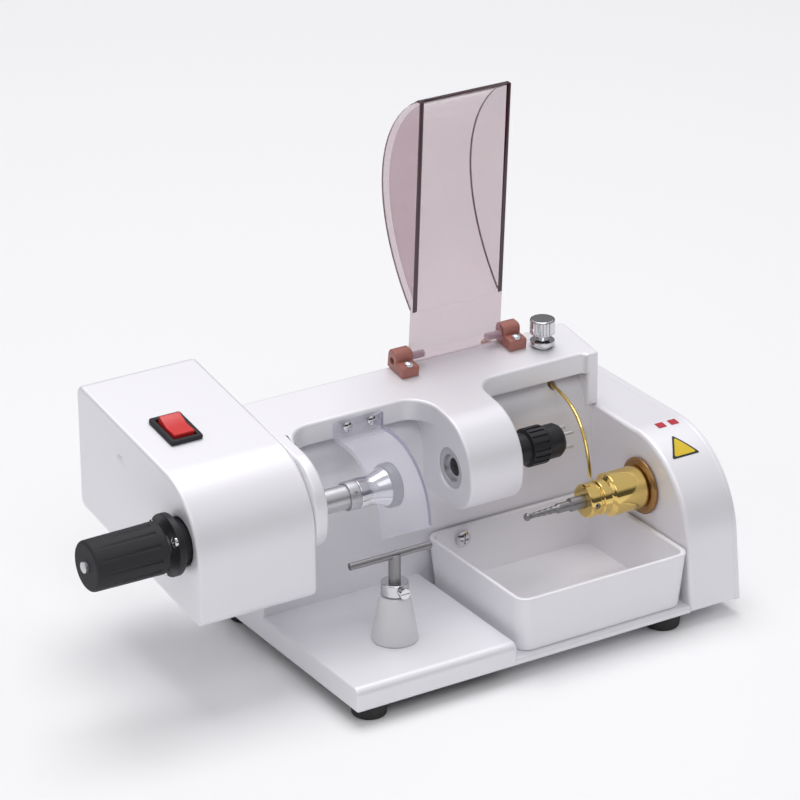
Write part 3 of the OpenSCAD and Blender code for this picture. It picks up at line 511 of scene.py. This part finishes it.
def rounded_copy(node: str, body: str, radius_mm: float, *finishes: Finish, segments: int = 3,
                 least_mm: float = 12.0, least_angle: float = 42.0,
                 beside: tuple[str, ...] = ()) -> bpy.types.Object:
    """Makes a finished copy of a CAD node whose outline edges are rounded over.

    Args:
        node: The CAD node, which the copy stands for.
        body: The CAD body that it rides on.
        radius_mm: The radius of the rounding.
        finishes: The finishes of the copy.
        segments: The number of steps in the rounding.
        least_mm: Chains of edges smaller than this, such as the rims of screw holes, stay sharp.
        least_angle: The angle in degrees from which an edge is rounded.
        beside: CAD nodes that the piece is built against; edges against them stay sharp.

    Returns:
        The finished copy.
    """
    piece = bpy.data.objects.new(f"{node}_finished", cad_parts[node].data.copy())
    bpy.context.scene.collection.objects.link(piece)
    only(piece)
    bpy.ops.mesh.customdata_custom_splitnormals_clear()
    bpy.ops.object.mode_set(mode="EDIT")
    bpy.ops.mesh.select_all(action="SELECT")
    bpy.ops.mesh.remove_doubles(threshold=WELD_BEFORE)
    bpy.ops.mesh.dissolve_limited(angle_limit=math.radians(FLAT_ANGLE))
    bpy.ops.object.mode_set(mode="OBJECT")
    mesh = bmesh.new()
    mesh.from_mesh(piece.data)
    weight = mesh.edges.layers.float.new("bevel_weight_edge")
    for chain in outline_chains(mesh, least_angle, Neighbours(beside)):
        if chain_size(chain) >= least_mm * MM:
            for edge in chain:
                edge[weight] = 1.0
    mesh.to_mesh(piece.data)
    mesh.free()
    bevel = piece.modifiers.new("rounding", "BEVEL")
    bevel.limit_method = "WEIGHT"
    bevel.width = radius_mm * MM
    bevel.segments = segments
    bevel.use_clamp_overlap = False
    apply_all(piece)
    only(piece)
    bpy.ops.object.mode_set(mode="EDIT")
    bpy.ops.mesh.select_all(action="SELECT")
    bpy.ops.mesh.remove_doubles(threshold=WELD_AFTER)
    bpy.ops.mesh.dissolve_degenerate(threshold=WELD_AFTER)
    bpy.ops.object.mode_set(mode="OBJECT")
    smooth(piece)
    even = piece.modifiers.new("even_normals", "WEIGHTED_NORMAL")
    even.keep_sharp = True
    apply_all(piece)
    paint(piece, *finishes)
    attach(piece, body)
    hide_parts(node)
    log.info("rounded %s: %d faces", node, len(piece.data.polygons))
    return piece


def dress(finish: Finish, *nodes: str) -> None:
    """Gives CAD nodes that show as they are their finish.

    Args:
        finish: The finish.
        nodes: The names of the CAD nodes.
    """
    for node in nodes:
        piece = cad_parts[node]
        piece.data.materials.clear()
        piece.data.materials.append(finish.material())
        for polygon in piece.data.polygons:
            polygon.material_index = 0
        log.info("dressed %s", node)


def bisect_at(piece: bpy.types.Object, place: Point, normal: Point) -> None:
    """Cuts new edges into a piece where a plane crosses it.

    Args:
        piece: The piece.
        place: A point on the plane, in metres.
        normal: The direction square to the plane.
    """
    only(piece)
    bpy.ops.object.mode_set(mode="EDIT")
    bpy.ops.mesh.select_all(action="SELECT")
    bpy.ops.mesh.bisect(plane_co=place, plane_no=normal, use_fill=False)
    bpy.ops.object.mode_set(mode="OBJECT")


# ---------------------------------------------------------------- sub-assemblies


@dataclass
class Castings:
    """The enamelled castings and covers, with their soft edges and plain labels."""

    base_round: float = 1.2
    arm_round: float = 1.3
    housing_round: float = 1.6
    head_round: float = 2.2
    cover_round: float = 0.5
    foot_round: float = 0.7
    head_radius: float = 44.0
    head_centre: float = 47.3
    label_lift: float = 0.12
    caution_across: float = 12.0
    caution_angle: float = 62.0
    caution_corner: float = 1.1
    caution_layers: tuple[tuple[str, float, float, Finish], ...] = (
        ("caution_border", 8.4, 1.0, LABEL_INK),
        ("caution_field", 6.6, 1.9, CAUTION_YELLOW),
    )
    marks_across: tuple[float, ...] = (12.0, 18.6)
    marks_angle: float = 84.0
    mark_size: float = 4.2
    mark_corner: float = 0.5

    def build(self) -> None:
        """Builds the castings, covers and feet."""
        rounded_copy("base_casting", "frame", self.base_round, ENAMEL,
                     beside=("arm_casting", "drill_head_shell", "motor_housing", "bottom_cover"))
        rounded_copy("arm_casting", "frame", self.arm_round, ENAMEL,
                     beside=("base_casting", "drill_head_shell", "motor_housing"))
        rounded_copy("motor_housing", "frame", self.housing_round, ENAMEL)
        head = rounded_copy("drill_head_shell", "frame", self.head_round, ENAMEL,
                            beside=("base_casting", "arm_casting", "drill_head_cover"))
        rounded_copy("drill_head_cover", "frame", self.cover_round, ENAMEL)
        rounded_copy("rear_cover", "frame", self.cover_round, ENAMEL)
        rounded_copy("feet", "frame", self.foot_round, RUBBER, least_mm=13.0)
        dress(DARK_PLATE, "housing_end_plate", "bottom_cover")
        dress(ZINC, "cover_screws", "foot_screws")
        self._caution_label(head)
        self._red_marks(head)

    def _lay_on(self, label: bpy.types.Object, surface: bpy.types.Object, lift_mm: float) -> None:
        """Presses a flat label onto a curved surface and finishes it.

        Args:
            label: The flat label, near its place.
            surface: The piece that it lies on.
            lift_mm: How far it stands off the surface.
        """
        settle(label)
        wrap = label.modifiers.new("lay_on", "SHRINKWRAP")
        wrap.target = surface
        wrap.wrap_method = "NEAREST_SURFACEPOINT"
        wrap.wrap_mode = "ABOVE_SURFACE"
        wrap.offset = lift_mm * MM
        apply_all(label)
        smooth(label)
        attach(label, "frame")

    def _head_point(self, x_from_face: float, angle: float) -> tuple[Vector, Vector]:
        """Gives a point on the head's curved front and the direction out of it there.

        Args:
            x_from_face: Distance in metres to the right of the head's left face.
            angle: The angle in degrees up from level, about the curve's centre.

        Returns:
            The point and the outward direction.
        """
        low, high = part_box("drill_head_shell")
        radius = self.head_radius * MM
        centre = Vector((low.x + x_from_face, low.y + self.head_centre * MM, high.z - radius))
        out = Vector((0, -math.cos(math.radians(angle)), math.sin(math.radians(angle))))
        return centre + out * radius, out

    @staticmethod
    def _facing(out: Vector) -> tuple[float, float, float]:
        """Gives the turn that lays a flat label square to a direction, with its top up the curve.

        Args:
            out: The direction.

        Returns:
            The turn as three angles in radians.
        """
        across = Vector((1, 0, 0))
        return tuple(Matrix((across, out.cross(across), out)).transposed().to_euler())

    def _caution_label(self, head: bpy.types.Object) -> None:
        """Makes a plain caution triangle with a dark border and no symbol on it.

        Args:
            head: The finished drill head, which the triangle lies on.
        """
        place, out = self._head_point(self.caution_across * MM, self.caution_angle)
        for name, size, lift, finish in self.caution_layers:
            clear_selection()
            bpy.ops.mesh.primitive_circle_add(vertices=3, radius=size * MM, fill_type="NGON",
                                              location=place, rotation=self._facing(out))
            label = bpy.context.object
            label.name = name
            bpy.ops.object.mode_set(mode="EDIT")
            bpy.ops.mesh.select_all(action="SELECT")
            bpy.ops.mesh.bevel(offset=self.caution_corner * MM, segments=4, affect="VERTICES")
            bpy.ops.mesh.quads_convert_to_tris()
            bpy.ops.mesh.subdivide(number_cuts=6)
            bpy.ops.object.mode_set(mode="OBJECT")
            self._lay_on(label, head, self.label_lift * lift)
            paint(label, finish)
            log.info("label %s", name)

    def _red_marks(self, head: bpy.types.Object) -> None:
        """Makes two small plain red marks where the machine carries print.

        Args:
            head: The finished drill head, which the marks lie on.
        """
        for index, across in enumerate(self.marks_across):
            place, out = self._head_point(across * MM, self.marks_angle)
            clear_selection()
            bpy.ops.mesh.primitive_plane_add(size=self.mark_size * MM, location=place,
                                             rotation=self._facing(out))
            mark = bpy.context.object
            mark.name = f"red_mark_{index + 1}"
            bpy.ops.object.mode_set(mode="EDIT")
            bpy.ops.mesh.select_all(action="SELECT")
            bpy.ops.mesh.bevel(offset=self.mark_corner * MM, segments=3, affect="VERTICES")
            bpy.ops.object.mode_set(mode="OBJECT")
            self._lay_on(mark, head, self.label_lift)
            paint(mark, LABEL_RED)
            log.info("mark %d", index + 1)


@dataclass
class WorkSpindle:
    """The work spindle with its hand knob, flange, hub and cup."""

    knob_round: float = 0.45
    ring_round: float = 0.35
    cup_round: float = 0.25

    def build(self) -> None:
        """Builds the spindle's pieces."""
        rounded_copy("hand_knob", "work_rotor", self.knob_round, BLACK_PLASTIC, least_mm=3.0, segments=2)
        rounded_copy("bearing_flange", "frame", self.ring_round, BLACK_METAL, least_mm=6.0)
        rounded_copy("shaft_collar", "work_rotor", self.ring_round, GROUND_STEEL, least_mm=6.0)
        rounded_copy("work_spindle", "work_rotor", self.ring_round, GROUND_STEEL, least_mm=3.0)
        rounded_copy("flared_hub", "work_rotor", self.ring_round, MIRROR_CHROME, least_mm=6.0)
        rounded_copy("lap_cup", "work_rotor", self.cup_round, CUP_RIM, least_mm=6.0)
        dress(ZINC, "flange_screws")
        dress(GROUND_STEEL, "work_bearings")
        dress(ALLOY, "work_pulley", "work_motor_pulley")
        dress(BELT, "work_belt")
        dress(MOTOR_STEEL, "work_motor")


@dataclass
class NoseChuck:
    """The bushing and the pronged chuck in the finger's nose."""

    edge_round: float = 0.3
    chuck_round: float = 0.15

    def build(self) -> None:
        """Builds the chuck's pieces."""
        rounded_copy("nose_bushing", "frame", self.edge_round, GROUND_STEEL, least_mm=6.0)
        rounded_copy("chuck_body", "chuck_rotor", self.chuck_round, BLACK_METAL, least_mm=6.0, segments=2)
        dress(GROUND_STEEL, "chuck_spindle", "chuck_prongs")


@dataclass
class DrillSpindle:
    """The brass drill spindle with its burr, whose measures are in millimetres from its tip."""

    edge_round: float = 0.3
    ball_radius: float = 1.8
    ball_end: float = 1.55
    neck_radius: float = 1.1
    cone_radius: float = 1.7
    cone_end: float = 17.0
    collar_radius: float = 2.2
    collar_end: float = 23.5
    shank_radius: float = 3.0
    least_radius: float = 0.05
    flutes_from: float = 3.4
    flutes_to: float = 16.8
    flute_pitch: float = 14.0
    burr_smooth: float = 40.0
    flutes: int = 3
    flute_turns: float = 1.6
    flute_depth: float = 0.22
    rings: int = 56
    sides: int = 36

    def build(self) -> None:
        """Builds the drill spindle's pieces."""
        rounded_copy("brass_chuck", "drill_rotor", self.edge_round, BRASS, least_mm=4.0)
        rounded_copy("seal_disc", "drill_rotor", self.edge_round, BRONZE, least_mm=6.0)
        dress(DARK_STEEL, "chuck_set_screw")
        dress(GROUND_STEEL, "drill_spindle", "drill_bearings")
        dress(ALLOY, "drill_pulley", "drill_motor_pulley")
        dress(BELT, "drill_belt")
        dress(MOTOR_STEEL, "drill_motor")
        self._burr()

    def _profile(self, along: float) -> float:
        """Gives the burr's radius at a distance from its tip.

        Args:
            along: The distance in millimetres.

        Returns:
            The radius in millimetres.
        """
        ball, neck = self.ball_radius, self.neck_radius
        if along < ball * self.ball_end:
            return math.sqrt(max(0.0, ball ** 2 - (along - ball) ** 2))
        if along < self.cone_end:
            return neck + (self.cone_radius - neck) * (along - ball) / (self.cone_end - ball)
        if along < self.collar_end:
            return self.collar_radius
        return self.shank_radius

    def _burr(self) -> None:
        """Builds the burr: a ball tip, a tapered neck with spiral flutes and a plain shank."""
        low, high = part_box("drill_burr")
        length = high.x - low.x
        centre = Vector((low.x + length / 2, (low.y + high.y) / 2, (low.z + high.z) / 2))
        clear_selection()
        bpy.ops.mesh.primitive_cylinder_add(vertices=self.sides, radius=1.0, depth=length, location=(0, 0, 0),
                                            rotation=(0, math.pi / 2, 0), end_fill_type="NGON")
        piece = bpy.context.object
        piece.name = "drill_burr_fluted"
        settle(piece)
        step = length / self.rings
        for ring in range(1, self.rings):
            bisect_at(piece, (-length / 2 + ring * step, 0, 0), (1, 0, 0))
        for vertex in piece.data.vertices:
            along = (vertex.co.x + length / 2) / MM
            angle = math.atan2(vertex.co.z, vertex.co.y)
            fluted = self.flutes_from < along < self.flutes_to
            wave = math.cos(self.flutes * (angle - self.flute_turns * 2 * math.pi * along / self.flute_pitch))
            cut = 1 - self.flute_depth * max(0.0, wave) if fluted else 1.0
            radius = max(self.least_radius, self._profile(along)) * cut * MM
            vertex.co.y = centre.y + radius * math.cos(angle)
            vertex.co.z = centre.z + radius * math.sin(angle)
            vertex.co.x += centre.x
        smooth(piece, self.burr_smooth)
        paint(piece, DARK_STEEL)
        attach(piece, "drill_rotor")
        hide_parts("drill_burr")
        log.info("drill burr: %d faces", len(piece.data.polygons))


@dataclass
class Electrics:
    """The rocker switch and the pieces behind it."""

    bezel_round: float = 0.5
    rocker_round: float = 0.4

    def build(self) -> None:
        """Builds the switch and dresses what is behind it."""
        rounded_copy("switch_body", "frame", self.bezel_round, BLACK_PLASTIC, least_mm=8.0)
        rounded_copy("switch_rocker", "rocker", self.rocker_round, ROCKER_RED, least_mm=6.0)
        rounded_copy("power_inlet", "frame", self.bezel_round, BLACK_PLASTIC, least_mm=10.0)
        dress(BLUE_FILM, "motor_capacitor")
        dress(IVORY, "terminal_block")


@dataclass
class Coolant:
    """The bent brass tube and its valve."""

    tube_radius: float = 0.8
    tube_steps: int = 40
    tube_ring_steps: int = 5
    tube_smooth: float = 50.0
    knob_round: float = 0.2
    body_round: float = 0.25
    start: Point = (0.101, 0.0155, 0.088)
    first_pull: Point = (0.100, -0.009, 0.089)
    second_pull: Point = (0.093, -0.029, 0.084)
    end: Point = (0.092, -0.0335, 0.0625)

    def build(self) -> None:
        """Builds the tube and the valve's pieces."""
        self._tube()
        rounded_copy("valve_knob", "valve", self.knob_round, NICKEL, least_mm=6.0, segments=2)
        rounded_copy("valve_body", "frame", self.body_round, NICKEL, least_mm=6.0)
        dress(BRASS, "hose_barb")
        dress(VINYL, "coolant_hose")

    def _tube(self) -> None:
        """Bends a round tube from the valve down to the drill's tip."""
        clear_selection()
        bpy.ops.curve.primitive_bezier_curve_add(location=(0, 0, 0))
        tube = bpy.context.object
        tube.name = "coolant_tube_bent"
        first, last = tube.data.splines[0].bezier_points
        for point, place, pull, before in ((first, self.start, self.first_pull, True),
                                           (last, self.end, self.second_pull, False)):
            place_v, pull_v = Vector(place), Vector(pull)
            point.handle_left_type = point.handle_right_type = "FREE"
            point.co = place_v
            point.handle_right = pull_v if before else place_v * 2 - pull_v
            point.handle_left = place_v * 2 - pull_v if before else pull_v
        tube.data.dimensions = "3D"
        tube.data.resolution_u = self.tube_steps
        tube.data.bevel_depth = self.tube_radius * MM
        tube.data.bevel_resolution = self.tube_ring_steps
        tube.data.use_fill_caps = True
        only(tube)
        bpy.ops.object.convert(target="MESH")
        tube = bpy.context.object
        smooth(tube, self.tube_smooth)
        paint(tube, BRASS)
        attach(tube, "frame")
        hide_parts("coolant_tube")
        log.info("coolant tube")


@dataclass
class Guards:
    """The tinted hood with its hinges and the clear shield over the cup."""

    sheet: float = 2.5
    rim_depth: float = 1.0
    foot: float = 21.0
    lean: float = 3.8
    hood_round: float = 0.5
    block_round: float = 0.8
    shield_round: float = 0.3
    heel: float = 3.2
    pin_radius: float = 1.6
    top_band: float = 4.0
    foot_margin: float = 1.0
    front_facing: float = 0.6
    front_ahead: float = 0.2
    side_facing: float = 0.8
    rim_behind: float = -1.0
    # How far towards +x a shield face must look to get the violet painted reflection.
    painted_reflection_facing: float = 0.75

    def build(self) -> None:
        """Builds the hood, its hinge pieces and the shield."""
        self._hood()
        self._shield()
        rounded_copy("hinge_blocks", "frame", self.block_round, AMBER, least_mm=8.0)
        dress(GROUND_STEEL, "hinge_pins")
        dress(ZINC, "hinge_screws", "shield_screws")

    def _hood(self) -> None:
        """Builds the hood with its dark polished rim."""
        hood = rounded_copy("splash_hood", "hood", self.hood_round, TINTED, TINTED_EDGE, least_mm=14.0,
                            segments=2)
        low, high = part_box("splash_hood")
        axis = Vector((0, low.y + self.heel * MM, low.z + self.heel * MM))
        tilt = math.radians(self.lean)
        up = Vector((0, -math.sin(tilt), math.cos(tilt)))
        out = Vector((0, -math.cos(tilt), -math.sin(tilt)))
        for depth in (self.rim_depth, self.sheet):
            bisect_at(hood, (low.x + depth * MM, 0, 0), (1, 0, 0))
            bisect_at(hood, (high.x - depth * MM, 0, 0), (1, 0, 0))
        bisect_at(hood, tuple(axis + up * self.foot * MM), tuple(up))
        hinge_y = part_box("hinge_pins")[0].y + self.pin_radius * MM
        hinge_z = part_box("hinge_pins")[0].z + self.pin_radius * MM
        for polygon in hood.data.polygons:
            offset = polygon.center - Vector((0, hinge_y, hinge_z))
            rise, front = offset.dot(up) / MM, offset.dot(out) / MM
            forward = polygon.normal.dot(out) > self.front_facing and front > self.front_ahead
            at_top = rise > (high.z - hinge_z) / MM - self.top_band
            side = min(polygon.center.x - low.x, high.x - polygon.center.x) < self.rim_depth * MM
            curved_rim = side and abs(polygon.normal.x) < self.side_facing and front < self.rim_behind
            dark = rise > self.foot + self.foot_margin and (forward or at_top or curved_rim)
            polygon.material_index = 1 if dark else 0

    def _shield(self) -> None:
        """Builds the clear shield, with a violet painted reflection on its edge faces that look towards +x.
        """
        shield = rounded_copy("wheel_shield", "frame", self.shield_round, CLEAR, CLEAR_EDGE_REFLECTION,
                              least_mm=10.0, segments=2)
        # Edge faces that look towards +x get the violet painted reflection; the rest stays clear.
        for polygon in shield.data.polygons:
            polygon.material_index = 1 if polygon.normal.x > self.painted_reflection_facing else 0


@dataclass
class TrayAndRest:
    """The water tray and the tool rest."""

    rim_round: float = 0.9
    post_round: float = 0.7
    collar_round: float = 0.6
    stem_round: float = 0.3
    rod_round: float = 0.4

    def build(self) -> None:
        """Builds the tray and the rest."""
        rounded_copy("tray", "frame", self.rim_round, TRAY_WHITE, segments=4)
        rounded_copy("rest_post", "frame", self.post_round, POST_GREY, least_mm=8.0)
        rounded_copy("rest_collar", "rest_swivel", self.collar_round, NICKEL, least_mm=6.0)
        rounded_copy("rest_stem", "rest_slide", self.stem_round, DARK_STEEL, least_mm=4.0)
        rounded_copy("rest_rod", "rest_slide", self.rod_round, DARK_STEEL, least_mm=2.0)
        dress(ZINC, "tray_screw", "rest_clamp_screw")


@dataclass
class Studio:
    """The floor, the soft lights and the camera."""

    camera_place: Point = (-0.80136, -1.32944, 0.80649)
    azimuth: float = 31.6
    elevation: float = 24.2
    roll: float = 0.4
    lens: float = 181.25
    sensor: float = 36.0
    near: float = 0.05
    far: float = 60.0
    floor_half: float = 6.0
    aim_height: float = 0.08
    lamps: tuple[tuple[str, Point, float, float], ...] = (
        ("key", (-0.5, -1.5, 1.9), 1.1, 7.0),
        ("left_fill", (-2.0, -0.3, 1.0), 1.4, 3.0),
        ("top", (0.2, 0.5, 2.3), 1.4, 25.5),
    )
    world_strength: float = 0.62
    world_below: Color = (0.9, 0.9, 0.93)
    world_above: Color = (0.95, 0.95, 1.0)
    world_stops: tuple[tuple[float, float], ...] = ((0.49, 0.9), (0.51, 0.05), (0.66, 0.05), (0.76, 0.95))
    world_blue: float = 1.03

    def build(self) -> None:
        """Builds everything that isn't part of the machine."""
        self._floor()
        self._world()
        for name, place, size, power in self.lamps:
            self._lamp(name, place, size, power)
        self._camera()
        scene = bpy.context.scene
        scene.view_settings.view_transform = "Standard"
        scene.view_settings.exposure = 0.0

    def _floor(self) -> None:
        """Makes the pale floor with its own quiet surface."""
        clear_selection()
        bpy.ops.mesh.primitive_plane_add(size=2 * self.floor_half, location=(0, 0, 0))
        floor = bpy.context.object
        floor.name = "studio_floor"
        floor.data.materials.append(FLOOR.material())

    def _world(self) -> None:
        """Surrounds the scene with pale light over a dark horizon, which the chrome mirrors."""
        world = bpy.data.worlds.new("studio_world")
        world.use_nodes = True
        nodes, links = world.node_tree.nodes, world.node_tree.links
        background = nodes["Background"]
        background.inputs["Strength"].default_value = self.world_strength
        coords = nodes.new("ShaderNodeTexCoord")
        split = nodes.new("ShaderNodeSeparateXYZ")
        links.new(coords.outputs["Generated"], split.inputs["Vector"])
        rise = nodes.new("ShaderNodeMapRange")
        rise.inputs["From Min"].default_value = -1.0
        links.new(split.outputs["Z"], rise.inputs["Value"])
        ramp = nodes.new("ShaderNodeValToRGB")
        ramp.color_ramp.elements[0].color = (*self.world_below, 1)
        ramp.color_ramp.elements[1].color = (*self.world_above, 1)
        for place, tone in self.world_stops:
            stop = ramp.color_ramp.elements.new(place)
            stop.color = (tone, tone, tone * self.world_blue, 1)
        links.new(rise.outputs["Result"], ramp.inputs["Fac"])
        links.new(ramp.outputs["Color"], background.inputs["Color"])
        bpy.context.scene.world = world

    def _lamp(self, name: str, place: Point, size: float, power: float) -> None:
        """Adds a square soft light aimed at the machine.

        Args:
            name: The lamp's name.
            place: Where it stands, in metres.
            size: The length of its side.
            power: Its power in watts.
        """
        data = bpy.data.lights.new(name, "AREA")
        data.size = size
        data.energy = power
        lamp = bpy.data.objects.new(name, data)
        lamp.location = place
        aim = Vector((0, 0, self.aim_height)) - Vector(place)
        lamp.rotation_euler = aim.to_track_quat("-Z", "Y").to_euler()
        bpy.context.scene.collection.objects.link(lamp)

    def _camera(self) -> None:
        """Sets the camera from its direction, roll and distance."""
        a, e, r = (math.radians(x) for x in (self.azimuth, self.elevation, self.roll))
        back = Vector((-math.sin(a) * math.cos(e), -math.cos(a) * math.cos(e), math.sin(e)))
        level = Vector((math.cos(a), -math.sin(a), 0))
        above = back.cross(level)
        right = level * math.cos(r) - above * math.sin(r)
        up = level * math.sin(r) + above * math.cos(r)
        data = bpy.data.cameras.new("view_camera")
        data.lens = self.lens
        data.sensor_width = self.sensor
        data.clip_start = self.near
        data.clip_end = self.far
        camera = bpy.data.objects.new("view_camera", data)
        turn = Matrix((right, up, back)).transposed().to_4x4()
        camera.matrix_world = Matrix.Translation(self.camera_place) @ turn
        bpy.context.scene.collection.objects.link(camera)
        bpy.context.scene.camera = camera


def main() -> None:
    """Builds every sub-assembly in order."""
    logging.basicConfig(level=logging.INFO, format="%(name)s: %(message)s")
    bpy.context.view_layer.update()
    for part in (Castings(), WorkSpindle(), NoseChuck(), DrillSpindle(), Electrics(), Coolant(), Guards(),
                 TrayAndRest(), Studio()):
        part.build()
        log.info("%s done", type(part).__name__)


if __name__ == "__main__":
    main()
